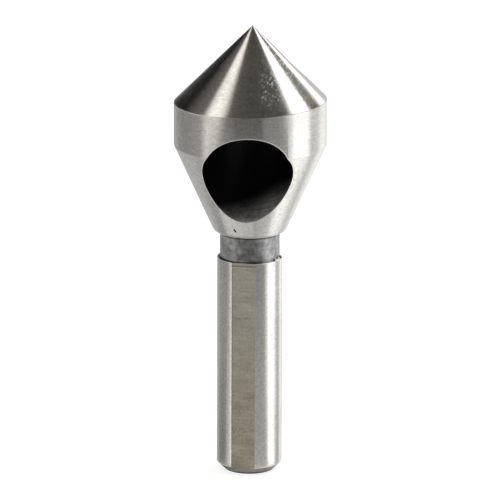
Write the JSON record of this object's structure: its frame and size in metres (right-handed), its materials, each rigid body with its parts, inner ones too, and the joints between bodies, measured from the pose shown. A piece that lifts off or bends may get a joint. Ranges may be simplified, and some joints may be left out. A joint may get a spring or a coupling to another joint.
{
  "type": "countersink bit",
  "caption": "Cone-pointed countersink bit with a slanted cross hole through its head, back taper, neck and straight round shank with shallow milled flats.",
  "frame": {"origin": "centre of the shank's flat end face", "axes": "+Z along the tool's axis from the shank to the point; the lower mouth of the cross hole and the first shank flat face -Y"},
  "size_m": [0.028, 0.028, 0.084],
  "materials": {
    "tool_steel": "bright ground tool steel with fine grinding lines, a dull grey neck and a dark drilled hole"
  },
  "bodies": {
    "root": {"countersink_bit": "tool_steel"}
  },
  "joints": []
}
